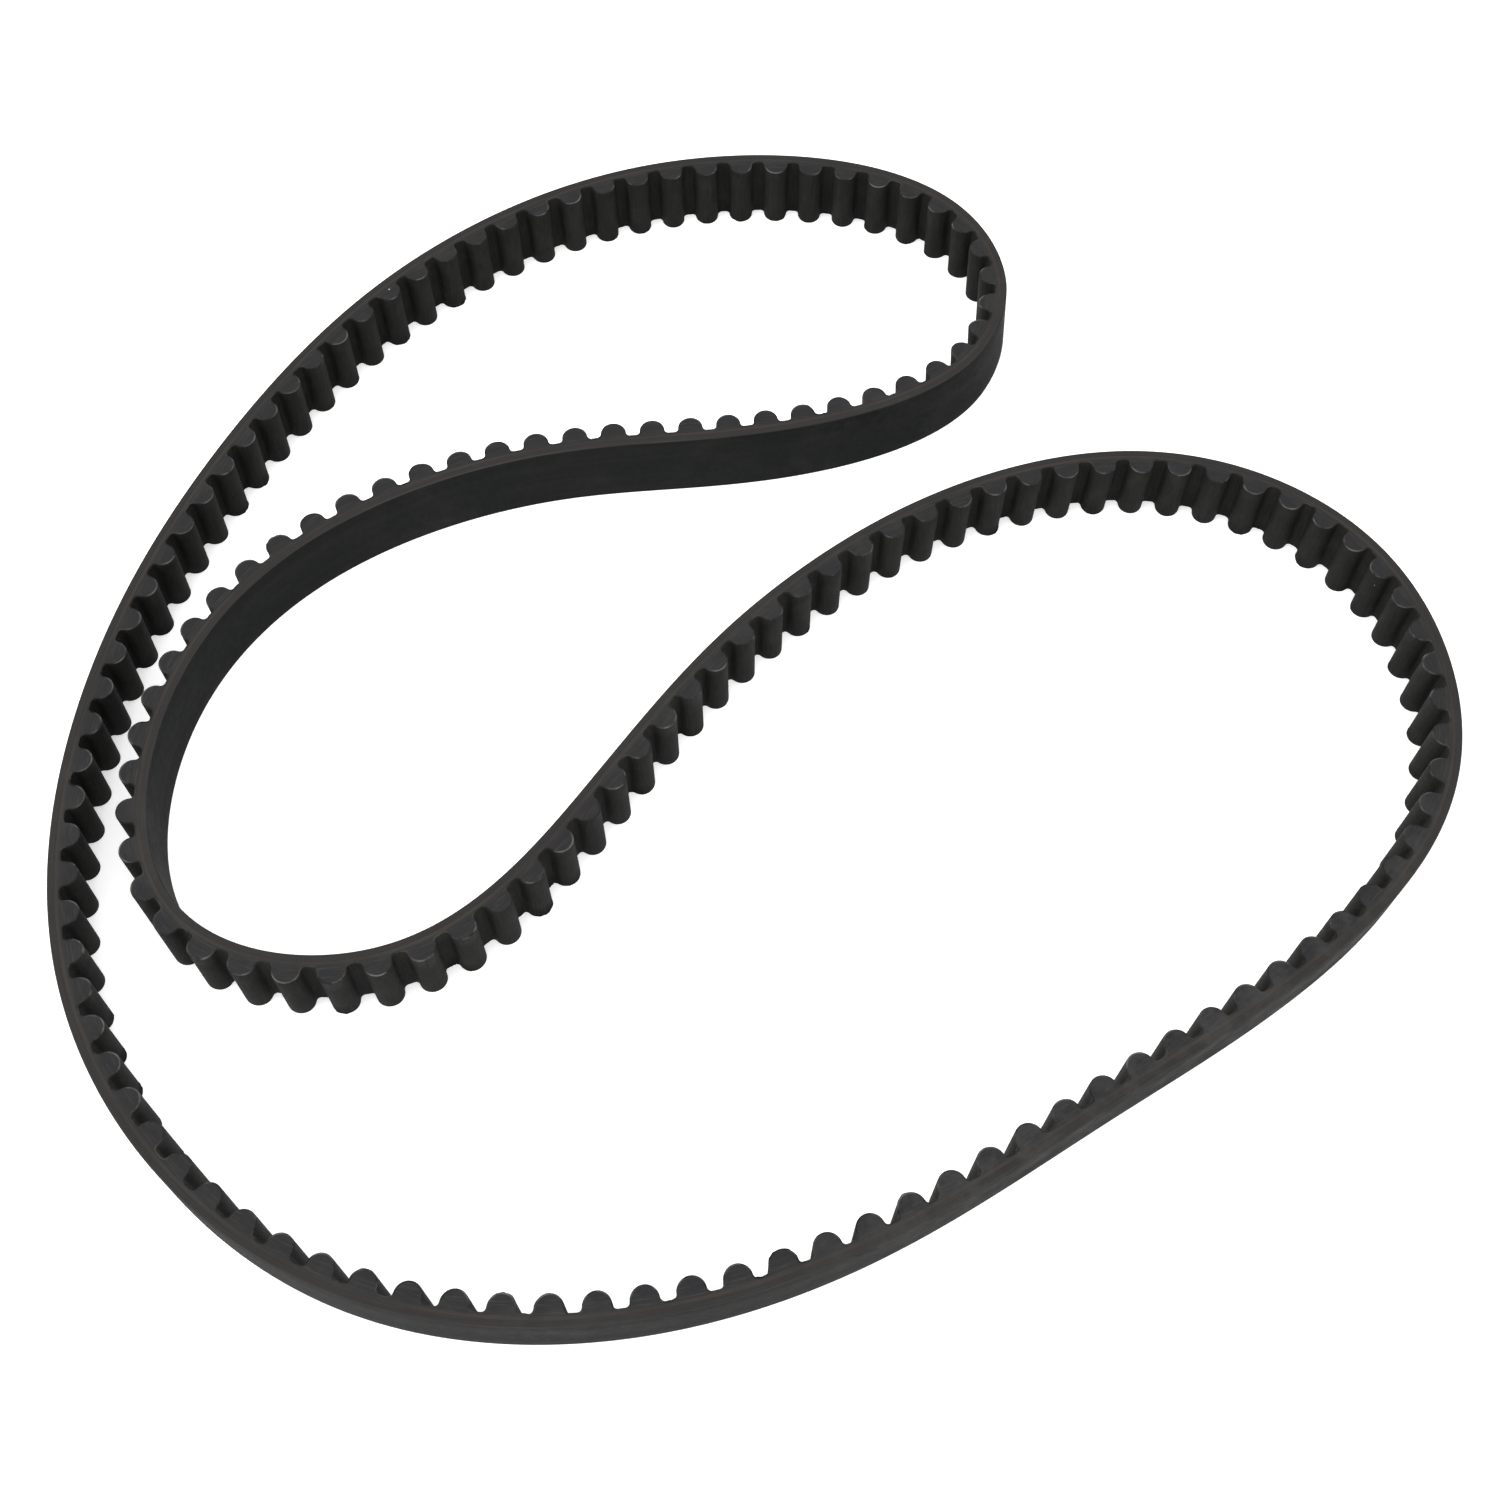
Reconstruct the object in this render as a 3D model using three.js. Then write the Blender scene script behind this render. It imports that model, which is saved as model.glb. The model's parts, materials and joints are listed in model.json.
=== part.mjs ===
// A round-tooth timing belt, 8 mm pitch, 15 mm wide, 156 teeth, 1248 mm round its pitch line.
// It stands on one edge, unwound from its pulleys, folded the way a slack belt lies.
// The belt is four layers, from the smooth back to the toothed side: backing rubber, tensile
// cords, tooth rubber and tooth facing. Each layer is cut into nine stretches at the places
// where the belt flexes, so that the stretches can turn on hinges in the grooves.
import * as THREE from 'three';

// Driving dimensions, in millimetres
const toothPitch = 8;
const toothCount = 156;
const beltWidth = 15;
const tipRadius = 2.59; // round tip of a tooth
const rootRadius = 0.78; // fillet from the tooth into the groove
const toothHeight = 3.38; // groove floor to tooth tip
const grooveBelowPitchLine = 0.69; // pitch line to groove floor
const backAbovePitchLine = 1.73; // pitch line to smooth back
const facingThickness = 0.25;
const cordTop = 0.55; // the cord layer reaches this far above the pitch line
const cordBottom = -0.05;
const layerGap = 0.1; // between neighbouring layers
const hingeSlit = 0.5; // between neighbouring stretches, in a groove
const tipSteps = 4; // straight steps round a tooth tip
const toothPhase = 0.4; // first tooth centre, in pitches from the start of the route

// The pitch line, a closed smooth curve through the air above these points: over the top of the
// small loop, round its right end, back along the fold, round the fold, out along the middle run,
// round the right end of the big loop, along the bottom and up the left side.
const routePoints = [
  [-8, 146], [51, 139], [60, 84], [3, 65], [-40, 66], [-89, 47], [-118, 9],
  [-115, -49], [-58, -57], [-27, -14], [-1, 24], [39, 54], [87, 66], [133, 41],
  [139, -13], [106, -50], [64, -74], [24, -101], [-22, -116], [-72, -112],
  [-112, -82], [-131, -37], [-128, 13], [-113, 57], [-88, 100], [-51, 132],
];
const routeCentre = [3, 14.6]; // middle of the belt's outline, moved to the origin

// Stretches in order round the loop. Each runs from one groove to the next, and a groove is
// named by the tooth before it; numbers past the tooth count have gone once round.
const stretches = [
  ['upper_bend_inner_half', 7, 10],
  ['upper_inner_run', 10, 25],
  ['fold_bend', 25, 52],
  ['middle_run', 52, 75],
  ['right_bend', 75, 88],
  ['bottom_run', 88, 109],
  ['left_run', 109, 144],
  ['upper_outer_run', 144, 159],
  ['upper_bend_outer_half', 159, 163],
];

const beltLength = toothPitch * toothCount;

// Uniform cubic B-spline through the control points, closed on itself.
function splinePoint(u) {
  const count = routePoints.length;
  const step = Math.floor(u);
  const f = u - step;
  const weights = [
    (1 - f) ** 3 / 6,
    (3 * f ** 3 - 6 * f ** 2 + 4) / 6,
    (-3 * f ** 3 + 3 * f ** 2 + 3 * f + 1) / 6,
    f ** 3 / 6,
  ];
  const point = new THREE.Vector2();
  weights.forEach((weight, k) => {
    const [x, y] = routePoints[(step + k - 1 + count) % count];
    point.x += weight * (x - routeCentre[0]);
    point.y += weight * (y - routeCentre[1]);
  });
  return point;
}

// The curve measured off by length and scaled so that it is exactly the belt's length.
const sampleCount = 12000;
const samples = [];
const distances = [0];
for (let i = 0; i <= sampleCount; i++) {
  samples.push(splinePoint((i / sampleCount) * routePoints.length));
  if (i > 0) distances.push(distances[i - 1] + samples[i].distanceTo(samples[i - 1]));
}
const routeScale = beltLength / distances[sampleCount];

function pitchPoint(distance) {
  const wanted = ((distance % beltLength) + beltLength) % beltLength / routeScale;
  let low = 0;
  let high = sampleCount;
  while (high - low > 1) {
    const middle = (low + high) >> 1;
    if (distances[middle] <= wanted) low = middle;
    else high = middle;
  }
  const share = (wanted - distances[low]) / (distances[high] - distances[low]);
  return samples[low].clone().lerp(samples[high], share).multiplyScalar(routeScale);
}

// A place on the belt: a distance along the pitch line and a height above it, towards the back.
function beltPoint(distance, height) {
  const halfStep = 0.05;
  const along = pitchPoint(distance + halfStep).sub(pitchPoint(distance - halfStep)).normalize();
  const outward = new THREE.Vector2(-along.y, along.x);
  return pitchPoint(distance).addScaledVector(outward, height);
}

const grooveDistance = (tooth) => (tooth + toothPhase + 0.5) * toothPitch;
const toothDistance = (tooth) => (tooth + toothPhase) * toothPitch;

// One tooth as distances from its centre and heights above the pitch line, seen at a depth of
// inset below its surface: the groove floor, a straight fillet, the round tip, and back.
function toothProfile(inset) {
  const tipCentre = -grooveBelowPitchLine - (toothHeight - tipRadius);
  const radius = tipRadius - inset;
  const filletStart = Math.sqrt((tipRadius + rootRadius) ** 2 - (rootRadius - toothHeight + tipRadius) ** 2);
  const floor = -grooveBelowPitchLine + inset;
  const points = [[-filletStart, floor]];
  for (let i = 0; i <= tipSteps; i++) {
    const angle = Math.PI * (1 + i / tipSteps);
    points.push([radius * Math.cos(angle), tipCentre + radius * Math.sin(angle)]);
  }
  points.push([filletStart, floor]);
  return points;
}

// A toothed line from one groove to another, the given depth below the toothed surface.
function toothedLine(firstGroove, lastGroove, inset) {
  const floor = -grooveBelowPitchLine + inset;
  const line = [beltPoint(grooveDistance(firstGroove) + hingeSlit / 2, floor)];
  for (let tooth = firstGroove + 1; tooth <= lastGroove; tooth++) {
    for (const [offset, height] of toothProfile(inset)) {
      line.push(beltPoint(toothDistance(tooth) + offset, height));
    }
  }
  line.push(beltPoint(grooveDistance(lastGroove) - hingeSlit / 2, floor));
  return line;
}

// A plain line at one height, with one point in each groove.
function plainLine(firstGroove, lastGroove, height) {
  const line = [];
  for (let groove = firstGroove; groove <= lastGroove; groove++) {
    let distance = grooveDistance(groove);
    if (groove === firstGroove) distance += hingeSlit / 2;
    if (groove === lastGroove) distance -= hingeSlit / 2;
    line.push(beltPoint(distance, height));
  }
  return line;
}

// The four layers: each is the space between an upper line and a lower line.
const facingInset = facingThickness;
const toothRubberInset = facingThickness + layerGap;
const layers = [
  {
    name: 'backing_rubber',
    upper: (a, b) => plainLine(a, b, backAbovePitchLine),
    lower: (a, b) => plainLine(a, b, cordTop + layerGap),
    material: new THREE.MeshStandardMaterial({ color: 0x26272a, roughness: 0.78, metalness: 0 }),
  },
  {
    name: 'tensile_cords',
    upper: (a, b) => plainLine(a, b, cordTop),
    lower: (a, b) => plainLine(a, b, cordBottom),
    material: new THREE.MeshStandardMaterial({ color: 0x8a7f72, roughness: 0.6, metalness: 0 }),
  },
  {
    name: 'tooth_rubber',
    upper: (a, b) => plainLine(a, b, cordBottom - layerGap),
    lower: (a, b) => toothedLine(a, b, toothRubberInset),
    material: new THREE.MeshStandardMaterial({ color: 0x2b2b2d, roughness: 0.8, metalness: 0 }),
  },
  {
    name: 'tooth_facing',
    upper: (a, b) => toothedLine(a, b, facingInset),
    lower: (a, b) => toothedLine(a, b, 0),
    material: new THREE.MeshStandardMaterial({ color: 0x35363a, roughness: 0.9, metalness: 0 }),
  },
];

function layerMesh(stretchName, firstGroove, lastGroove, layer) {
  const upper = layer.upper(firstGroove, lastGroove);
  const lower = layer.lower(firstGroove, lastGroove).reverse();
  const outline = new THREE.Shape([...upper, ...lower]);
  const geometry = new THREE.ExtrudeGeometry(outline, { depth: beltWidth, bevelEnabled: false });
  const mesh = new THREE.Mesh(geometry, layer.material);
  mesh.name = `${stretchName}_${layer.name}`;
  return mesh;
}

const belt = new THREE.Group();
for (const [stretchName, firstGroove, lastGroove] of stretches) {
  const stretch = new THREE.Group();
  for (const layer of layers) {
    stretch.add(layerMesh(stretchName, firstGroove, lastGroove, layer));
  }
  belt.add(stretch);
}

export default belt;
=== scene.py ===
import json
import math
import bpy
import numpy as np
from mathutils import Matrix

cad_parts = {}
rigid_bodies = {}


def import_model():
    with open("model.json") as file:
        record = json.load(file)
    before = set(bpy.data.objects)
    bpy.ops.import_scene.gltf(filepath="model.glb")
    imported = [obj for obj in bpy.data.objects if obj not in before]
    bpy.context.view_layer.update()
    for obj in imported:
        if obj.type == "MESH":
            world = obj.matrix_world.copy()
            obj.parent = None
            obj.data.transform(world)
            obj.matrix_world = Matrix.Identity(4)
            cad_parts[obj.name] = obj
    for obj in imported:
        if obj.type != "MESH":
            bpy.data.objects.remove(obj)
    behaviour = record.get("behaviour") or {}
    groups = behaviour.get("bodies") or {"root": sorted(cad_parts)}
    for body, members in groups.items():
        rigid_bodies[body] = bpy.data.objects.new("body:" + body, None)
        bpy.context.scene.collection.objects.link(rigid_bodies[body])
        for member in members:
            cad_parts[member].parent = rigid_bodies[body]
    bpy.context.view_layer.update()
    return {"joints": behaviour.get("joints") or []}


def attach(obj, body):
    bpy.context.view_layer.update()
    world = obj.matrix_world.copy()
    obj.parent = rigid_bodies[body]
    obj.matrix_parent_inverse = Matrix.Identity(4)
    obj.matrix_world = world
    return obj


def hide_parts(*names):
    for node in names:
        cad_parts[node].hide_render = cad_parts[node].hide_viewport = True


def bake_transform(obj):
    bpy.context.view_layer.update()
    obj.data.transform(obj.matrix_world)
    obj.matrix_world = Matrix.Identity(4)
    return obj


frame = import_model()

# A slack round-tooth timing belt standing on its edge on a pale studio floor.
# The belt is built straight first, as places (distance along the pitch line, height above it,
# level across the width), and every surface is then carried round the closed route.
# Four layers make it up: backing rubber, tensile cords, tooth rubber and tooth facing.
# Each layer is made in rigid stretches, with a short bending piece over every hinge.

mm = 0.001

belt = {
    "pitch": 8 * mm,
    "teeth": 156,
    "width": 15 * mm,
    "tipRadius": 2.59 * mm,
    "rootRadius": 0.78 * mm,
    "toothHeight": 3.38 * mm,
    "grooveBelowPitchLine": 0.69 * mm,
    "backAbovePitchLine": 1.73 * mm,
    "firstTooth": 0.4,        # first tooth centre, in pitches from the start of the route
    "flexReach": 4,           # pitches of belt that the piece over a hinge reaches on each side
    "shortReach": {7: 0, 10: 2, 159: 2, 163: 0},   # and at these grooves of the small loop
    "flexMargin": 3 * mm,
    "leanPivot": 0.65,        # share of the width that stays in place where the belt leans
    "slit": 0.004 * mm,       # half the hairline opening where the loop is cut
}

# points that the pitch line is drawn through the air above, in millimetres: the rounded
# result of a least-squares fit made by a separate program, not points chosen by hand
routePoints = np.array([
    [-8, 146], [51, 139], [60, 84], [3, 65], [-40, 66], [-89, 47], [-118, 9],
    [-115, -49], [-58, -57], [-27, -14], [-1, 24], [39, 54], [87, 66], [133, 41],
    [139, -13], [106, -50], [64, -74], [24, -101], [-22, -116], [-72, -112],
    [-112, -82], [-131, -37], [-128, 13], [-113, 57], [-88, 100], [-51, 132],
], float)
routeCentre = np.array([3, 14.6])

# how far the top edge leans outwards of the bottom edge, every twelfth tooth, in millimetres
leanPoints = np.array([0.9, -1.6, -1.6, -0.2, 0.3, 0.0, -0.6, 0.2, 0.5, 0.4, -0.3, -0.9, -0.4])

# how far the belt lies outside the route at a groove, in millimetres, eased from one to the next
swayPoints = np.array([
    (0, 0.3), (4, 0.1), (8.5, 1.0), (11, 0), (42, 0), (48, 0.3), (56, 0.5), (62, 0), (67, 0),
    (73, 0.4), (78, 0.1), (85, 0.5), (91, 0), (111, 0), (119, -0.3), (124, 0), (132, 0.3),
    (139, 0), (145, 0.3), (151, 0), (156, 0.3),
])

# stretches in order round the loop, from groove to groove; a groove has the number of the
# tooth before it, and numbers past the last tooth have gone once round
stretches = [
    ("upper_bend_inner_half", 7, 10),
    ("upper_inner_run", 10, 25),
    ("fold_bend", 25, 52),
    ("middle_run", 52, 75),
    ("right_bend", 75, 88),
    ("bottom_run", 88, 109),
    ("left_run", 109, 144),
    ("upper_outer_run", 144, 159),
    ("upper_bend_outer_half", 159, 163),
]


def closedSpline(points, share):
    # uniform cubic B-spline: each value is the weighted sum of four neighbouring points
    step = np.floor(share).astype(int)
    f = share - step
    weights = [(1 - f) ** 3, 3 * f ** 3 - 6 * f ** 2 + 4,
               -3 * f ** 3 + 3 * f ** 2 + 3 * f + 1, f ** 3]
    return sum(w / 6 * points[(step + k - 1) % len(points)] for k, w in enumerate(weights))


def measureRoute(samples=60000):
    # walks the spline, sums its steps, and scales it so that its length is pitch times teeth
    share = np.linspace(0, len(routePoints), samples + 1)
    centred = (routePoints - routeCentre) * mm
    places = np.stack([closedSpline(centred[:, k], share) for k in (0, 1)], 1)
    walked = np.r_[0, np.cumsum(np.linalg.norm(np.diff(places, axis=0), axis=1))]
    scale = belt["pitch"] * belt["teeth"] / walked[-1]
    along = np.gradient(places, axis=0)
    along[0] = along[-1] = (along[0] + along[-1]) / 2
    along /= np.linalg.norm(along, axis=1)[:, None]
    outward = np.stack([-along[:, 1], along[:, 0]], 1)
    return {"walked": walked * scale, "places": places * scale, "outward": outward}


route = measureRoute()
beltLength = belt["pitch"] * belt["teeth"]


def leanAt(distance):
    # the lean points through the same B-spline as the route
    return closedSpline(leanPoints, distance / beltLength * len(leanPoints)) * mm


def swayAt(distance):
    # between two sway points, 3t^2 - 2t^3 of the way from one to the other
    groove = np.mod(distance - grooveAt(0), beltLength) / belt["pitch"]
    after = np.searchsorted(swayPoints[:, 0], groove, side="right")
    after = np.clip(after, 1, len(swayPoints) - 1)
    (fromGroove, fromSway), (toGroove, toSway) = swayPoints[after - 1].T, swayPoints[after].T
    t = (groove - fromGroove) / (toGroove - fromGroove)
    return (fromSway + (toSway - fromSway) * (3 * t ** 2 - 2 * t ** 3)) * mm


def onBelt(distance, height, level):
    # pitch-line place at that distance, moved along the outward normal by height, sway and lean;
    # the lean is in proportion to how far the level is from its pivot, as a share of the width
    opening = grooveAt(stretches[0][1])
    distance = np.clip(distance, opening + belt["slit"], opening + beltLength - belt["slit"])
    d = np.mod(distance, beltLength)
    out = height + swayAt(d) + leanAt(d) * (level / belt["width"] - belt["leanPivot"])
    flat = [np.interp(d, route["walked"], route["places"][:, k])
            + out * np.interp(d, route["walked"], route["outward"][:, k]) for k in (0, 1)]
    return np.stack([flat[0], flat[1], np.broadcast_to(level, d.shape)], -1)


def grooveAt(number):
    return (number + belt["firstTooth"] + 0.5) * belt["pitch"]


def toothShape(inset, landSteps=3, filletSteps=4, tipSteps=14):
    # half a groove, the root fillet's arc, the tip's half circle, and the same back,
    # all moved into the tooth by the inset: the tip radius shrinks and the fillet radius grows
    tip = belt["tipRadius"] - inset
    root = belt["rootRadius"] + inset
    floor = inset - belt["grooveBelowPitchLine"]
    tipCentre = -belt["grooveBelowPitchLine"] - belt["toothHeight"] + belt["tipRadius"]
    filletCentreHeight = -belt["grooveBelowPitchLine"] - belt["rootRadius"]
    reach = belt["tipRadius"] + belt["rootRadius"]
    filletCentre = math.sqrt(reach ** 2 - (filletCentreHeight - tipCentre) ** 2)
    lean = math.asin((filletCentreHeight - tipCentre) / reach)
    land = np.linspace(-belt["pitch"] / 2, -filletCentre, landSteps, endpoint=False)
    turn = np.linspace(math.pi / 2, lean, filletSteps, endpoint=False)
    filletX = -filletCentre + root * np.cos(turn)
    filletY = filletCentreHeight + root * np.sin(turn)
    sweep = np.linspace(math.pi - lean, 2 * math.pi + lean, tipSteps + 1)
    tipX = tip * np.cos(sweep)
    tipY = tipCentre + tip * np.sin(sweep)
    x = np.r_[land, filletX, tipX, -filletX[::-1], -land[:0:-1]]
    y = np.r_[np.full(len(land), floor), filletY, tipY, filletY[::-1],
              np.full(len(land) - 1, floor)]
    return x, y


def toothedLine(first, last, inset):
    # the shape of one tooth repeated from groove to groove, closed by the last groove's middle
    x, y = toothShape(inset)
    centres = (np.arange(first + 1, last + 1) + belt["firstTooth"]) * belt["pitch"]
    distance = (centres[:, None] + x[None, :]).ravel()
    height = np.tile(y, len(centres))
    return np.r_[distance, grooveAt(last)], np.r_[height, y[0]]


def evenLine(first, last, height, perPitch):
    distance = np.linspace(grooveAt(first), grooveAt(last), (last - first) * perPitch + 1)
    return distance, np.full(len(distance), height)


def sectionRing(thickness, lowerRound, upperRound, acrossSteps=5, cornerSteps=4, cutSteps=3):
    # once round a layer's section: up the lower face, over the top cut, down the upper face and
    # under the bottom cut. A corner is a quarter circle: inset r(1-cos a), level r(1-sin a) from
    # the edge. Returns the share from lower to upper line, the inset from that line, the level,
    # and the corner peak, which is sin 2a and so peaks half way round a corner; it places the
    # painted highlight on the backing's rounded corner, and the facing's burrs.
    width = belt["width"]
    turn = np.linspace(0, math.pi / 2, cornerSteps + 1)
    share, inset, level, cornerPeak = [], [], [], []

    def face(side, radius, upwards):
        flat = np.linspace(radius, width - radius, acrossSteps)
        rise = width - radius * (1 - np.sin(turn[1:]))
        depth = radius * (1 - np.cos(turn[1:]))
        peakCurve = np.sin(2 * turn[1:]) if radius > 0 else np.zeros(cornerSteps)
        order = slice(None) if upwards else slice(None, None, -1)
        share.append(np.full(acrossSteps + 2 * cornerSteps, side))
        inset.append(np.r_[depth[::-1], np.zeros(acrossSteps), depth][order])
        level.append(np.r_[width - rise[::-1], flat, rise][order])
        cornerPeak.append(np.r_[peakCurve[::-1], np.zeros(acrossSteps), peakCurve][order])

    def cut(fromSide, toSide, height):
        share.append(np.linspace(fromSide, toSide, cutSteps + 2)[1:-1])
        inset.append(np.zeros(cutSteps))
        level.append(np.full(cutSteps, height))
        cornerPeak.append(np.zeros(cutSteps))

    face(0.0, lowerRound, True)
    cut(lowerRound / thickness, 1 - upperRound / thickness, width)
    face(1.0, upperRound, False)
    cut(1 - upperRound / thickness, lowerRound / thickness, 0.0)
    level[0][-1] = level[2][0] = width  # exactly on the cut, so that cut faces are found
    level[0][0] = level[2][-1] = 0.0
    return [np.concatenate(part) for part in (share, inset, level, cornerPeak)]


def carryRing(lower, upper, ring):
    # grid of places: each ring point lies between the two lines by its share, then steps by its
    # inset towards the middle of the layer along the straight way from one line to the other
    share, inset, level, cornerPeak = (a[None, :] for a in ring)
    low = np.stack(lower, -1)[:, None, :]
    up = np.stack(upper, -1)[:, None, :]
    across = up - low
    across = across / np.linalg.norm(across, axis=2)[:, :, None]
    inwards = np.where(share < 0.5, 1, -1)[:, :, None] * inset[:, :, None]
    flat = low + (up - low) * share[:, :, None] + across * inwards
    shape = flat.shape[:2]
    return flat[:, :, 0], flat[:, :, 1], np.broadcast_to(level, shape), np.broadcast_to(cornerPeak, shape)


def gridMesh(name, distance, height, level, cornerPeak):
    # a closed skin over the grid, rings joined in turn, with one flat face on each end
    rows, ring = distance.shape
    vertices = onBelt(distance.ravel(), height.ravel(), level.ravel())
    i, j = np.meshgrid(np.arange(rows - 1), np.arange(ring), indexing="ij")
    k = (j + 1) % ring
    quads = np.stack([i * ring + j, (i + 1) * ring + j, (i + 1) * ring + k, i * ring + k], -1)
    quads = quads.reshape(-1, 4)
    firstEnd = np.arange(ring)
    lastEnd = ((rows - 1) * ring + np.arange(ring))[::-1]
    loops = np.r_[quads.ravel(), firstEnd, lastEnd]
    starts = np.r_[np.arange(len(quads)) * 4, len(quads) * 4, len(quads) * 4 + ring]
    mesh = bpy.data.meshes.new(name)
    mesh.vertices.add(len(vertices))
    mesh.vertices.foreach_set("co", vertices.ravel())
    mesh.loops.add(len(loops))
    mesh.loops.foreach_set("vertex_index", loops)
    mesh.polygons.add(len(starts))
    mesh.polygons.foreach_set("loop_start", starts)
    onCut = (level == 0) | (level == belt["width"])
    flatQuad = (onCut.ravel()[quads]).all(1)
    mesh.polygons.foreach_set("use_smooth", np.r_[~flatQuad, False, False])
    mesh.update(calc_edges=True)
    mesh.validate()
    # hard edges round the two ends and along the cuts, so that shading stays level at joints
    ends = np.empty((len(mesh.edges), 2), int)
    mesh.edges.foreach_get("vertices", ends.ravel())
    endRow = (ends // ring == 0) | (ends // ring == rows - 1)
    hard = (endRow.all(1) & (ends[:, 0] // ring == ends[:, 1] // ring)) | onCut.ravel()[ends].all(1)
    sharp = mesh.attributes.new("sharp_edge", "BOOLEAN", "EDGE")
    sharp.data.foreach_set("value", hard)
    place = mesh.attributes.new("beltPlace", "FLOAT_VECTOR", "POINT")
    place.data.foreach_set("vector", np.stack([distance, height, level], -1).ravel())
    # corner peak, stored for the painted highlight on the backing's rounded corner
    paintedHighlight = mesh.attributes.new("cornerHighlight", "FLOAT", "POINT")
    paintedHighlight.data.foreach_set("value", cornerPeak.ravel())
    piece = bpy.data.objects.new(name, mesh)
    bpy.context.scene.collection.objects.link(piece)
    return piece


backing = {
    "slot": "backing_rubber",
    "underside": 0.38 * mm,
    "cornerRound": 0.30 * mm,
    "stationsPerPitch": 16,
}


def backingPiece(name, first, last):
    # smooth band between the cords and the back, with both outer corners rounded
    steps = backing["stationsPerPitch"]
    lower = evenLine(first, last, backing["underside"], steps)
    upper = evenLine(first, last, belt["backAbovePitchLine"], steps)
    thickness = belt["backAbovePitchLine"] - backing["underside"]
    ring = sectionRing(thickness, 0, backing["cornerRound"])
    return gridMesh(name, *carryRing(lower, upper, ring))


cords = {
    "slot": "tensile_cords",
    "count": 12,
    "radius": 0.44 * mm,
    "centreHeight": 0.05 * mm,
    "stationsPerPitch": 8,
    "edgeInset": 0.03 * mm,   # cut cords sit this much behind the rubber's cut edge
    "outermost": 0.20 * mm,   # centre of the first cord, from the belt's edge
    "bridge": 0.12 * mm,      # half thickness of the strip between two cords
    "stepsRound": 8,
}


def cordPiece(name, first, last):
    # cords side by side as one band: the section is a scalloped strip whose half thickness at a
    # level is the height of the cord's circle there, never less than the bridge between cords;
    # the belt is cut through its outermost cords, so the levels stop at the cut
    turn = np.linspace(0, math.pi, cords["stepsRound"] + 1)
    middles = np.linspace(cords["outermost"], belt["width"] - cords["outermost"], cords["count"])
    levels = (middles[:, None] - cords["radius"] * np.cos(turn)[None, :]).ravel()
    levels = np.clip(levels, cords["edgeInset"], belt["width"] - cords["edgeInset"])
    half = np.maximum(np.tile(cords["radius"] * np.sin(turn), cords["count"]), cords["bridge"])
    ringHeight = cords["centreHeight"] + np.r_[-half, half[::-1]]
    ringLevel = np.r_[levels, levels[::-1]]
    distance, _ = evenLine(first, last, 0, cords["stationsPerPitch"])
    shape = (len(distance), len(ringLevel))
    grids = [np.broadcast_to(a, shape) for a in (distance[:, None], ringHeight, ringLevel, 0.0)]
    return gridMesh(name, *grids)


toothRubber = {
    "slot": "tooth_rubber",
    "top": -0.26 * mm,
}

facing = {
    "slot": "tooth_facing",
    "thickness": 0.30 * mm,
    "cornerRound": 0.12 * mm,
    "burrHeight": 0.22 * mm,
    "threadsPerTooth": 26,    # loose thread ends along the cut, round one tooth and its groove
    "ragsPerTooth": 1.5,      # places where those ends stick out at all
    "ragFrom": 0.62,          # the slower unevenness that burrs start at,
    "ragSpan": 0.30,          # and how much more of it makes them full
    "upperSeed": 3,
    "lowerSeed": 7,
}


def toothRubberPiece(name, first, last):
    # fills the teeth, from the facing up to the cords, with a thin web over the grooves
    lower = toothedLine(first, last, facing["thickness"])
    upper = (lower[0], np.full(len(lower[0]), toothRubber["top"]))
    ring = sectionRing(1, 0, 0, acrossSteps=2, cornerSteps=1, cutSteps=4)
    return gridMesh(name, *carryRing(lower, upper, ring))


def unevenness(path, perLoop, seed):
    # one random number at each of perLoop even steps of the loop, eased between by 3t^2 - 2t^3
    heights = np.random.default_rng(seed).random(perLoop)
    step = np.mod(path, 1) * perLoop
    here = np.floor(step).astype(int) % perLoop
    t = step - np.floor(step)
    rise = heights[(here + 1) % perLoop] - heights[here]
    return heights[here] + rise * (3 * t ** 2 - 2 * t ** 3)


def facingPiece(name, first, last):
    # fabric of even thickness over teeth and grooves, its outer corner softened where it is cut;
    # burrs there are thread unevenness times how far the slower unevenness is above its start
    lower = toothedLine(first, last, 0)
    upper = toothedLine(first, last, facing["thickness"])
    ring = sectionRing(facing["thickness"], facing["cornerRound"], 0)
    distance, height, level, cornerPeak = carryRing(lower, upper, ring)
    share = (lower[0] - grooveAt(0)) / beltLength
    outX, outY = lower[0] - upper[0], lower[1] - upper[1]
    middle = belt["width"] / 2
    for side, seed in ((level[0] > middle, facing["upperSeed"]),
                       (level[0] < middle, facing["lowerSeed"])):
        rag = unevenness(share, int(belt["teeth"] * facing["ragsPerTooth"]), seed)
        thread = unevenness(share, belt["teeth"] * facing["threadsPerTooth"], seed + 1)
        ragged = np.clip(rag - facing["ragFrom"], 0, facing["ragSpan"]) / facing["ragSpan"]
        burr = facing["burrHeight"] * thread * ragged
        edge = cornerPeak[0] * side
        distance = distance + (burr * outX / facing["thickness"])[:, None] * edge[None, :]
        height = height + (burr * outY / facing["thickness"])[:, None] * edge[None, :]
    piece = gridMesh(name, distance, height, level, cornerPeak)
    layFabric(piece, lower, first, ring)
    return piece


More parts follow.
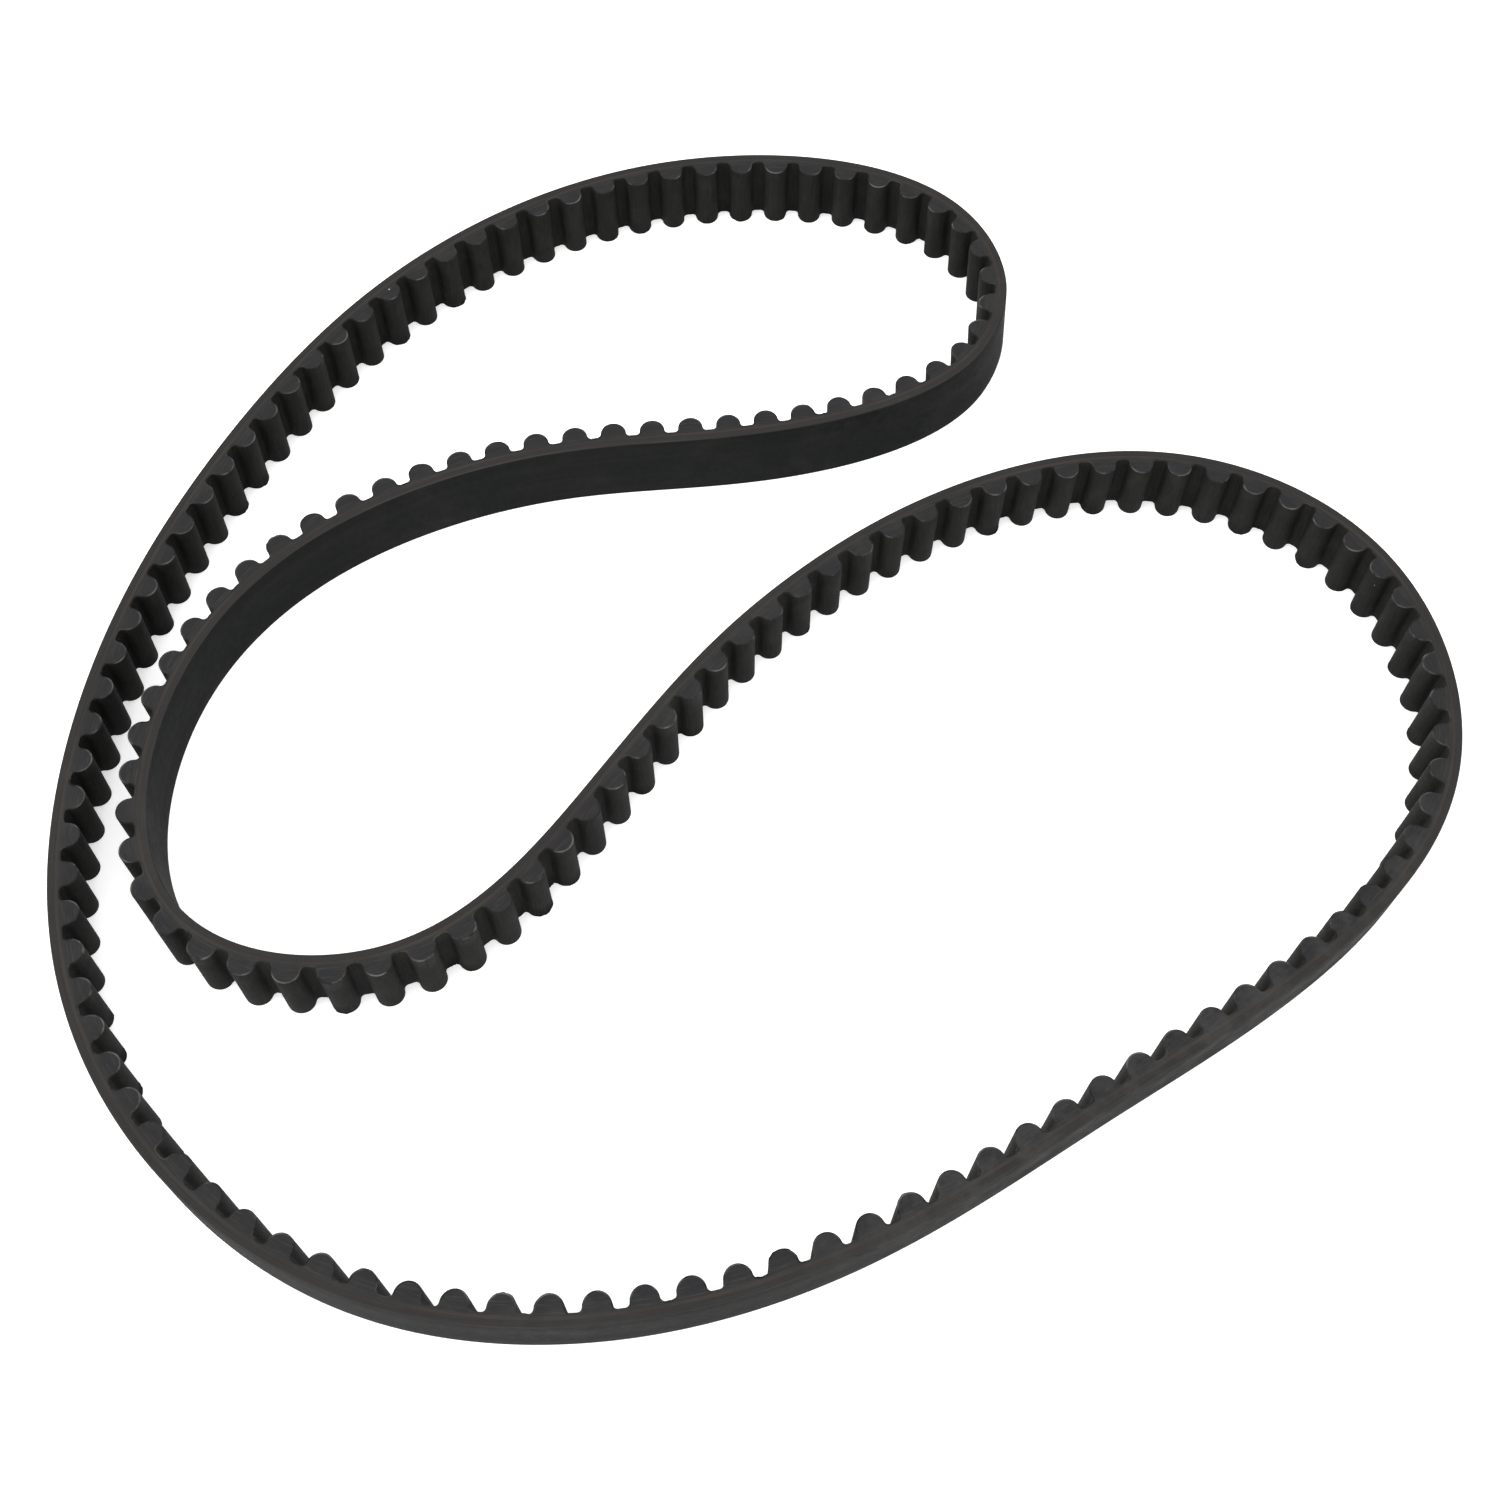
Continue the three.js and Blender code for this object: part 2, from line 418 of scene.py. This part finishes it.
def layFabric(piece, line, first, ring):
    # fabric coordinates: the path walked along the toothed line, and the level, in metres
    steps = np.r_[0, np.cumsum(np.hypot(np.diff(line[0]), np.diff(line[1])))]
    x, y = toothShape(0)
    perTooth = np.hypot(np.diff(np.r_[x, x[0] + belt["pitch"]]), np.diff(np.r_[y, y[0]])).sum()
    path = np.repeat(steps + first * perTooth, len(ring[2]))
    level = np.tile(ring[2] + ring[0] * facing["thickness"], len(steps))
    corner = np.empty(len(piece.data.loops), int)
    piece.data.loops.foreach_get("vertex_index", corner)
    uv = piece.data.uv_layers.new(name="fabric")
    uv.data.foreach_set("uv", np.stack([path, level], -1)[corner].ravel())


def addNode(tree, kind, settings=None, **inputs):
    # one node with its settings, its inputs given as fixed values or as sockets to link
    node = tree.nodes.new(kind)
    for key, value in (settings or {}).items():
        setattr(node, key, value)
    for key, value in inputs.items():
        socket = node.inputs[int(key[1:]) if key[1:].isdigit() else key.replace("_", " ")]
        if isinstance(value, bpy.types.NodeSocket):
            tree.links.new(value, socket)
        else:
            socket.default_value = value
    return node


def newGroup(name, inputs, outputs):
    tree = bpy.data.node_groups.new(name, "ShaderNodeTree")
    for label, kind, value in inputs:
        socket = tree.interface.new_socket(label, in_out="INPUT", socket_type=kind)
        if value is not None:
            socket.default_value = value
    for label, kind in outputs:
        tree.interface.new_socket(label, in_out="OUTPUT", socket_type=kind)
    return tree, tree.nodes.new("NodeGroupInput"), tree.nodes.new("NodeGroupOutput")


cutMask = {
    "fullWithin": 0.02 * mm,
    "noneBeyond": 0.12 * mm,
}


def placeGroup():
    # gives the belt's own place, its height, the corner peak that places the painted corner
    # highlight, and the cut mask, which is the closeness of the level to one of the two cut edges,
    # from 0 to 1
    tree, start, end = newGroup("placeOnBelt", [], [
        ("Place", "NodeSocketVector"), ("Height", "NodeSocketFloat"), ("Cut", "NodeSocketFloat"),
        ("CornerHighlight", "NodeSocketFloat")])
    place = addNode(tree, "ShaderNodeAttribute", {"attribute_name": "beltPlace"})
    parts = addNode(tree, "ShaderNodeSeparateXYZ", None, Vector=place.outputs["Vector"])
    fromMiddle = addNode(tree, "ShaderNodeMath", {"operation": "SUBTRACT"},
                         i0=parts.outputs["Z"], i1=belt["width"] / 2)
    away = addNode(tree, "ShaderNodeMath", {"operation": "ABSOLUTE"}, i0=fromMiddle.outputs[0])
    cut = addNode(tree, "ShaderNodeMapRange", None, Value=away.outputs[0],
                  From_Min=belt["width"] / 2 - cutMask["noneBeyond"],
                  From_Max=belt["width"] / 2 - cutMask["fullWithin"])
    cornerPeak = addNode(tree, "ShaderNodeAttribute", {"attribute_name": "cornerHighlight"})
    tree.links.new(place.outputs["Vector"], end.inputs["Place"])
    tree.links.new(parts.outputs["Y"], end.inputs["Height"])
    tree.links.new(cut.outputs[0], end.inputs["Cut"])
    tree.links.new(cornerPeak.outputs["Fac"], end.inputs["CornerHighlight"])
    return tree


def streakGroup():
    # noise stretched along the belt: distance is divided by the stretch before the noise reads it
    tree, start, end = newGroup("streaks", [
        ("Place", "NodeSocketVector", None), ("Size", "NodeSocketFloat", 1.0),
        ("Along", "NodeSocketFloat", 0.05), ("Across", "NodeSocketFloat", 1.0),
        ("Upright", "NodeSocketFloat", 1.0)], [("Streak", "NodeSocketFloat")])
    stretch = addNode(tree, "ShaderNodeCombineXYZ", None, X=start.outputs["Along"],
                      Y=start.outputs["Across"], Z=start.outputs["Upright"])
    scaled = addNode(tree, "ShaderNodeVectorMath", {"operation": "MULTIPLY"},
                     i0=start.outputs["Place"], i1=stretch.outputs[0])
    noise = addNode(tree, "ShaderNodeTexNoise", None, Vector=scaled.outputs[0],
                    Scale=start.outputs["Size"], Detail=4.0, Roughness=0.6)
    tree.links.new(noise.outputs["Fac"], end.inputs["Streak"])
    return tree


handling = {
    "broadScale": 26.0,
    "broadFrom": 0.42, "broadTo": 0.66, "broadShare": 0.35,
    "patchScale": 170.0,
    "patchFrom": 0.42, "patchTo": 0.64,
    "paleRises": (0.66, 0.72),    # metres along the belt, from the right bend
    "paleFalls": (0.86, 0.79),    # to the bottom run
}


def mottleGroup():
    # handling marks: noise about four centimetres wide, or one paler stretch where that is
    # more, times noise about six millimetres wide; the stretch rises and falls smoothly
    tree, start, end = newGroup("mottle", [("Place", "NodeSocketVector", None)],
                                [("Smudge", "NodeSocketFloat")])
    broad = addNode(tree, "ShaderNodeTexNoise", None, Vector=start.outputs["Place"],
                    Scale=handling["broadScale"], Detail=2.0)
    small = addNode(tree, "ShaderNodeTexNoise", None, Vector=start.outputs["Place"],
                    Scale=handling["patchScale"], Detail=6.0, Roughness=0.7)
    wide = addNode(tree, "ShaderNodeMapRange", None, Value=broad.outputs["Fac"],
                   From_Min=handling["broadFrom"], From_Max=handling["broadTo"],
                   To_Max=handling["broadShare"])
    patch = addNode(tree, "ShaderNodeMapRange", None, Value=small.outputs["Fac"],
                    From_Min=handling["patchFrom"], From_Max=handling["patchTo"])
    along = addNode(tree, "ShaderNodeSeparateXYZ", None, Vector=start.outputs["Place"]).outputs["X"]
    smooth = {"interpolation_type": "SMOOTHSTEP"}
    rise, fall = (addNode(tree, "ShaderNodeMapRange", smooth, Value=along,
                          From_Min=handling[key][0], From_Max=handling[key][1])
                  for key in ("paleRises", "paleFalls"))
    paleStretch = addNode(tree, "ShaderNodeMath", {"operation": "MULTIPLY"},
                    i0=rise.outputs[0], i1=fall.outputs[0])
    marked = addNode(tree, "ShaderNodeMath", {"operation": "MAXIMUM"},
                     i0=wide.outputs[0], i1=paleStretch.outputs[0])
    both = addNode(tree, "ShaderNodeMath", {"operation": "MULTIPLY"},
                   i0=marked.outputs[0], i1=patch.outputs[0])
    tree.links.new(both.outputs[0], end.inputs["Smudge"])
    return tree


def dustGroup():
    # small round specks: voronoi cells whose random colour is under the share, near their centre
    tree, start, end = newGroup("dustSpecks", [
        ("Place", "NodeSocketVector", None), ("Size", "NodeSocketFloat", 200.0),
        ("Share", "NodeSocketFloat", 0.02), ("Radius", "NodeSocketFloat", 0.15)],
        [("Dust", "NodeSocketFloat")])
    cells = addNode(tree, "ShaderNodeTexVoronoi", None, Vector=start.outputs["Place"],
                    Scale=start.outputs["Size"], Randomness=1.0)
    pick = addNode(tree, "ShaderNodeSeparateColor", None, Color=cells.outputs["Color"])
    chosen = addNode(tree, "ShaderNodeMath", {"operation": "LESS_THAN"},
                     i0=pick.outputs[0], i1=start.outputs["Share"])
    size = addNode(tree, "ShaderNodeMath", {"operation": "MULTIPLY"},
                   i0=pick.outputs[1], i1=start.outputs["Radius"])
    near = addNode(tree, "ShaderNodeMath", {"operation": "LESS_THAN"},
                   i0=cells.outputs["Distance"], i1=size.outputs[0])
    both = addNode(tree, "ShaderNodeMath", {"operation": "MULTIPLY"},
                   i0=chosen.outputs[0], i1=near.outputs[0])
    tree.links.new(both.outputs[0], end.inputs["Dust"])
    return tree


def grainGroup():
    # fine rubber grain: two noises of different size mixed into one height
    tree, start, end = newGroup("rubberGrain", [
        ("Place", "NodeSocketVector", None), ("Fine", "NodeSocketFloat", 6000.0),
        ("Coarse", "NodeSocketFloat", 900.0)], [("Grain", "NodeSocketFloat")])
    fine = addNode(tree, "ShaderNodeTexNoise", None, Vector=start.outputs["Place"],
                   Scale=start.outputs["Fine"], Detail=2.0)
    coarse = addNode(tree, "ShaderNodeTexNoise", None, Vector=start.outputs["Place"],
                     Scale=start.outputs["Coarse"], Detail=3.0)
    both = addNode(tree, "ShaderNodeMix", {"data_type": "FLOAT"}, i0=0.6,
                   i2=fine.outputs["Fac"], i3=coarse.outputs["Fac"])
    tree.links.new(both.outputs[0], end.inputs["Grain"])
    return tree


groups = {
    "place": placeGroup(),
    "streaks": streakGroup(),
    "mottle": mottleGroup(),
    "dust": dustGroup(),
    "grain": grainGroup(),
}


def useGroup(tree, name, **inputs):
    return addNode(tree, "ShaderNodeGroup", {"node_tree": groups[name]}, **inputs)


def mixColour(tree, share, first, second):
    # first where the share is 0, second where it is 1
    mix = addNode(tree, "ShaderNodeMix", {"data_type": "RGBA"}, i0=share, i6=first, i7=second)
    return mix.outputs[2]


def mapValue(tree, value, low, high, toLow, toHigh):
    # straight line from low..high to toLow..toHigh, held at its ends
    return addNode(tree, "ShaderNodeMapRange", None, Value=value, From_Min=low, From_Max=high,
                   To_Min=toLow, To_Max=toHigh).outputs[0]


def multiply(tree, first, second):
    product = addNode(tree, "ShaderNodeMath", {"operation": "MULTIPLY"}, i0=first, i1=second)
    return product.outputs[0]


def newMaterial(name):
    material = bpy.data.materials.new(name)
    material.use_nodes = True
    tree = material.node_tree
    tree.nodes.clear()
    shader = tree.nodes.new("ShaderNodeBsdfPrincipled")
    output = tree.nodes.new("ShaderNodeOutputMaterial")
    tree.links.new(shader.outputs[0], output.inputs[0])
    return material, tree, shader


def finishMaterial(tree, shader, colour, roughness, height, bumpDistance):
    bump = addNode(tree, "ShaderNodeBump", None, Strength=1.0, Distance=bumpDistance, Height=height)
    tree.links.new(colour, shader.inputs["Base Color"])
    tree.links.new(roughness, shader.inputs["Roughness"])
    tree.links.new(bump.outputs[0], shader.inputs["Normal"])


backingFinish = {
    "back": (0.0042, 0.0048, 0.0048, 1),
    "backWorn": (0.0080, 0.0079, 0.0073, 1),
    "smudge": (0.0400, 0.0385, 0.0350, 1),
    "cut": (0.0190, 0.0180, 0.0176, 1),
    "cutStreak": (0.0265, 0.0245, 0.0234, 1),
    # painted highlight along the back's rounded corner
    "corner": (0.036, 0.0325, 0.029, 1),
    "dust": (0.30, 0.29, 0.27, 1),
    "wideStreak": {"Size": 900.0, "Along": 0.04, "Across": 1.0, "Upright": 0.5},
    "thinStreak": {"Size": 4000.0, "Along": 0.02, "Across": 1.0, "Upright": 0.3},
    "specks": {"Size": 320.0, "Share": 0.008, "Radius": 0.14},
    "smudgeShare": 0.6,
    "roughness": (0.78, 0.92),
    "bump": 0.03 * mm,
    "specular": 0.12,
}


def backingMaterial():
    look = backingFinish
    material, tree, shader = newMaterial("backing rubber")
    place = useGroup(tree, "place")
    spot = place.outputs["Place"]
    wide = useGroup(tree, "streaks", Place=spot, **look["wideStreak"])
    thin = useGroup(tree, "streaks", Place=spot, **look["thinStreak"])
    dust = useGroup(tree, "dust", Place=spot, **look["specks"])
    grain = useGroup(tree, "grain", Place=spot)
    worn = mapValue(tree, wide.outputs[0], 0.45, 0.75, 0, 1)
    back = mixColour(tree, worn, look["back"], look["backWorn"])
    streaked = mapValue(tree, thin.outputs[0], 0.45, 0.7, 0, 1)
    cut = mixColour(tree, streaked, look["cut"], look["cutStreak"])
    colour = mixColour(tree, place.outputs["Cut"], back, cut)
    mottle = useGroup(tree, "mottle", Place=spot)
    smudged = multiply(tree, mottle.outputs["Smudge"], look["smudgeShare"])
    colour = mixColour(tree, smudged, colour, look["smudge"])
    # painted highlight along the back's rounded corner, uneven along its way
    uneven = mapValue(tree, wide.outputs[0], 0.35, 0.65, 0.25, 1)
    paintedHighlight = multiply(tree, place.outputs["CornerHighlight"], uneven)
    colour = mixColour(tree, paintedHighlight, colour, look["corner"])
    colour = mixColour(tree, dust.outputs[0], colour, look["dust"])
    rough = mapValue(tree, grain.outputs[0], 0.3, 0.7, *look["roughness"])
    finishMaterial(tree, shader, colour, rough, grain.outputs[0], look["bump"])
    shader.inputs["Specular IOR Level"].default_value = look["specular"]
    return material


cordFinish = {
    "cord": (0.0330, 0.0275, 0.0230, 1),
    "rubber": (0.0190, 0.0180, 0.0176, 1),
    "smudge": (0.0420, 0.0390, 0.0350, 1),
    "showing": {"Size": 60.0, "Along": 0.5, "Across": 1.0, "Upright": 1.0},
    "smudgeShare": 0.6,
    "ply": 1500.0,
    "plyShare": 0.35,
    "roughness": (0.6, 0.75),
    "bump": 0.04 * mm,
    "specular": 0.12,
}


def cordMaterial():
    look = cordFinish
    material, tree, shader = newMaterial("tensile cords")
    place = useGroup(tree, "place")
    spot = place.outputs["Place"]
    # the helix lets the cut run in and out of a cord, so the cord shows only in long stretches
    shows = useGroup(tree, "streaks", Place=spot, **look["showing"])
    ply = addNode(tree, "ShaderNodeTexWave", {"wave_type": "BANDS", "bands_direction": "DIAGONAL"},
                  Vector=spot, Scale=look["ply"], Distortion=1.0)
    grain = useGroup(tree, "grain", Place=spot)
    seen = mapValue(tree, shows.outputs[0], 0.40, 0.62, 0.12, 0.95)
    colour = mixColour(tree, seen, look["rubber"], look["cord"])
    betweenPlies = multiply(tree, ply.outputs["Fac"], look["plyShare"])
    colour = mixColour(tree, betweenPlies, colour, look["rubber"])
    mottle = useGroup(tree, "mottle", Place=spot)
    smudged = multiply(tree, mottle.outputs["Smudge"], look["smudgeShare"])
    colour = mixColour(tree, smudged, colour, look["smudge"])
    rough = mapValue(tree, grain.outputs[0], 0.3, 0.7, *look["roughness"])
    finishMaterial(tree, shader, colour, rough, ply.outputs["Fac"], look["bump"])
    shader.inputs["Specular IOR Level"].default_value = look["specular"]
    return material


toothFinish = {
    "cut": (0.0130, 0.0133, 0.0146, 1),
    "cutWarm": (0.0190, 0.0180, 0.0178, 1),
    "scratch": (0.036, 0.035, 0.034, 1),
    "smudge": (0.0450, 0.0440, 0.0450, 1),
    "dust": (0.30, 0.29, 0.27, 1),
    "cloud": {"Size": 500.0, "Along": 0.5, "Across": 1.0, "Upright": 0.3},
    "scratches": {"Size": 3500.0, "Along": 0.06, "Across": 1.0, "Upright": 0.3},
    "specks": {"Size": 330.0, "Share": 0.02, "Radius": 0.16},
    "warmHeights": (-1.6 * mm, -0.3 * mm),
    "smudgeShare": 0.5,
    "roughness": (0.62, 0.8),
    "bump": 0.04 * mm,
    "specular": 0.12,
}


def toothRubberMaterial():
    look = toothFinish
    material, tree, shader = newMaterial("tooth rubber")
    place = useGroup(tree, "place")
    spot = place.outputs["Place"]
    cloud = useGroup(tree, "streaks", Place=spot, **look["cloud"])
    scratch = useGroup(tree, "streaks", Place=spot, **look["scratches"])
    dust = useGroup(tree, "dust", Place=spot, **look["specks"])
    grain = useGroup(tree, "grain", Place=spot)
    nearCords = mapValue(tree, place.outputs["Height"], *look["warmHeights"], 0, 0.7)
    colour = mixColour(tree, nearCords, look["cut"], look["cutWarm"])
    cloudy = mapValue(tree, cloud.outputs[0], 0.4, 0.75, 0, 0.5)
    colour = mixColour(tree, cloudy, colour, look["cutWarm"])
    mottle = useGroup(tree, "mottle", Place=spot)
    smudged = multiply(tree, mottle.outputs["Smudge"], look["smudgeShare"])
    colour = mixColour(tree, smudged, colour, look["smudge"])
    scratched = mapValue(tree, scratch.outputs[0], 0.52, 0.75, 0, 0.7)
    colour = mixColour(tree, scratched, colour, look["scratch"])
    colour = mixColour(tree, dust.outputs[0], colour, look["dust"])
    rough = mapValue(tree, grain.outputs[0], 0.3, 0.7, *look["roughness"])
    finishMaterial(tree, shader, colour, rough, grain.outputs[0], look["bump"])
    shader.inputs["Specular IOR Level"].default_value = look["specular"]
    return material


facingFinish = {
    "fabric": (0.0050, 0.0051, 0.0048, 1),
    "fabricWorn": (0.0140, 0.0136, 0.0118, 1),
    "smudge": (0.0240, 0.0232, 0.0210, 1),
    "rim": (0.080, 0.078, 0.074, 1),
    "dust": (0.28, 0.27, 0.25, 1),
    "thread": 0.40 * mm,
    "upright": {"Size": 2500.0, "Along": 1.0, "Across": 1.0, "Upright": 0.06},
    "cloud": {"Size": 350.0, "Along": 0.6, "Across": 1.0, "Upright": 0.5},
    "specks": {"Size": 420.0, "Share": 0.006, "Radius": 0.16},
    "rimHeights": (-3.4 * mm, -2.0 * mm),
    "smudgeShare": 0.5,
    "uprightBump": 0.8,       # of the weave's height
    "roughness": (0.82, 0.7),
    "bump": 0.03 * mm,
    "specular": 0.10,
}


def facingMaterial():
    look = facingFinish
    material, tree, shader = newMaterial("tooth facing")
    place = useGroup(tree, "place")
    spot = place.outputs["Place"]
    path = addNode(tree, "ShaderNodeUVMap", {"uv_map": "fabric"}).outputs[0]
    # warp and weft are two crossed sine ripples, one thread wide; at scale 1 the wave texture
    # turns its sine by 20 radians a metre
    ripple = 2 * math.pi / 20 / look["thread"]
    warp = addNode(tree, "ShaderNodeTexWave", {"bands_direction": "X"}, Vector=path, Scale=ripple)
    weft = addNode(tree, "ShaderNodeTexWave", {"bands_direction": "Y"}, Vector=path, Scale=ripple)
    weave = multiply(tree, warp.outputs["Fac"], weft.outputs["Fac"])
    upright = useGroup(tree, "streaks", Place=spot, **look["upright"])
    cloud = useGroup(tree, "streaks", Place=spot, **look["cloud"])
    dust = useGroup(tree, "dust", Place=spot, **look["specks"])
    worn = mapValue(tree, upright.outputs[0], 0.45, 0.75, 0, 0.6)
    colour = mixColour(tree, worn, look["fabric"], look["fabricWorn"])
    cloudy = mapValue(tree, cloud.outputs[0], 0.45, 0.7, 0, 0.5)
    colour = mixColour(tree, cloudy, colour, look["fabricWorn"])
    mottle = useGroup(tree, "mottle", Place=spot)
    smudged = multiply(tree, mottle.outputs["Smudge"], look["smudgeShare"])
    colour = mixColour(tree, smudged, colour, look["smudge"])
    # the cut rim is palest at the tip and uneven along its way
    atTip = mapValue(tree, place.outputs["Height"], *look["rimHeights"], 1, 0.3)
    uneven = mapValue(tree, cloud.outputs[0], 0.44, 0.62, 0.08, 1)
    rim = multiply(tree, place.outputs["Cut"], multiply(tree, atTip, uneven))
    colour = mixColour(tree, rim, colour, look["rim"])
    colour = mixColour(tree, dust.outputs[0], colour, look["dust"])
    height = addNode(tree, "ShaderNodeMath", {"operation": "ADD"}, i0=weave,
                     i1=multiply(tree, upright.outputs[0], look["uprightBump"])).outputs[0]
    rough = mapValue(tree, weave, 0, 1, *look["roughness"])
    finishMaterial(tree, shader, colour, rough, height, look["bump"])
    shader.inputs["Specular IOR Level"].default_value = look["specular"]
    return material


layers = [
    ("backing", backingPiece, backingMaterial(), backing["slot"], "backing_rubber"),
    ("cords", cordPiece, cordMaterial(), cords["slot"], "tensile_cords"),
    ("tooth_core", toothRubberPiece, toothRubberMaterial(), toothRubber["slot"], "tooth_rubber"),
    ("facing", facingPiece, facingMaterial(), facing["slot"], "tooth_facing"),
]


def reachAt(groove):
    # no bending piece lies over the slit in the small loop
    return belt["shortReach"].get(groove, belt["flexReach"])


for stretch, first, last in stretches:
    start, end = first + reachAt(first), last - reachAt(last)
    for layer, make, material, slotName, nodeLayer in layers:
        piece = make(f"{stretch}_{layer}", start, end)
        piece.data.materials.append(material)
        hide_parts(f"{stretch}_{nodeLayer}")
        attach(piece, stretch)
print("rigid stretches made:", len(stretches) * len(layers))

for before, after in zip(stretches[:-1], stretches[1:]):
    groove = after[1]
    joint = next(j for j in frame["joints"] if {j["parent"], j["child"]} == {before[0], after[0]})
    # a piece reaches as far on each side of its groove as the rigid stretches stop short, so that
    # its ends meet its neighbours
    reach = reachAt(groove)
    for layer, make, material, slotName, nodeLayer in layers:
        piece = make(f"{joint['name']}_{layer}", groove - reach, groove + reach)
        piece.data.materials.append(material)
        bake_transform(piece)
print("bending pieces made:", (len(stretches) - 1) * len(layers))


studio = {
    "floorSize": 40.0,
    "floorColour": (0.86, 0.86, 0.86, 1),
    "floorRoughness": 0.9,
    "floorSpecular": 0.1,
    "floorGlow": 0.42,
    "topSoftbox": {"power": 13, "size": 1.5, "place": (0, -0.1, 1.2)},
    "leftSoftbox": {"power": 9, "size": 0.8, "place": (-1.0, -0.5, 0.7)},
    "skyStrength": 1.0,
    "lens": 46.7,
    "distance": 386.6 * mm,
    "elevation": 62.1,
}


def makeFloor():
    # flat grid of four faces
    size = studio["floorSize"] / 2
    ticks = np.linspace(-size, size, 3)
    x, y = np.meshgrid(ticks, ticks, indexing="ij")
    corners = np.stack([x.ravel(), y.ravel(), np.zeros(9)], -1)
    faces = [(i, i + 3, i + 4, i + 1) for i in (0, 1, 3, 4)]
    mesh = bpy.data.meshes.new("floor")
    mesh.from_pydata(corners.tolist(), [], faces)
    floor = bpy.data.objects.new("floor", mesh)
    bpy.context.scene.collection.objects.link(floor)
    material, tree, shader = newMaterial("pale floor")
    shader.inputs["Base Color"].default_value = studio["floorColour"]
    shader.inputs["Roughness"].default_value = studio["floorRoughness"]
    shader.inputs["Specular IOR Level"].default_value = studio["floorSpecular"]
    shader.inputs["Emission Color"].default_value = (1, 1, 1, 1)
    shader.inputs["Emission Strength"].default_value = studio["floorGlow"]
    mesh.materials.append(material)


def makeLight(name, power, size, place):
    # square light at that place, turned towards the middle of the belt
    data = bpy.data.lights.new(name, "AREA")
    data.energy = power
    data.size = size
    light = bpy.data.objects.new(name, data)
    bpy.context.scene.collection.objects.link(light)
    light.location = place
    aim = -np.array(place)
    flat = math.hypot(aim[0], aim[1])
    light.rotation_euler = (math.atan2(flat, -aim[2]), 0, math.atan2(-aim[0], aim[1]))


def makeCamera():
    # the camera looks along +Y and down by the elevation, at the route's own origin on the floor
    data = bpy.data.cameras.new("camera")
    data.lens = studio["lens"]
    data.clip_start = 0.01
    camera = bpy.data.objects.new("camera", data)
    bpy.context.scene.collection.objects.link(camera)
    tilt = math.radians(studio["elevation"])
    camera.location = (-routeCentre[0] * mm,
                       -routeCentre[1] * mm - studio["distance"] * math.cos(tilt),
                       studio["distance"] * math.sin(tilt))
    camera.rotation_euler = (math.pi / 2 - tilt, 0, 0)
    bpy.context.scene.camera = camera


makeFloor()
makeLight("top softbox", **studio["topSoftbox"])
makeLight("left softbox", **studio["leftSoftbox"])
makeCamera()
world = bpy.data.worlds.new("studio")
world.use_nodes = True
world.node_tree.nodes["Background"].inputs["Color"].default_value = (1, 1, 1, 1)
world.node_tree.nodes["Background"].inputs["Strength"].default_value = studio["skyStrength"]
bpy.context.scene.world = world
bpy.context.scene.view_settings.view_transform = "Standard"
print("floor, lights and camera made")
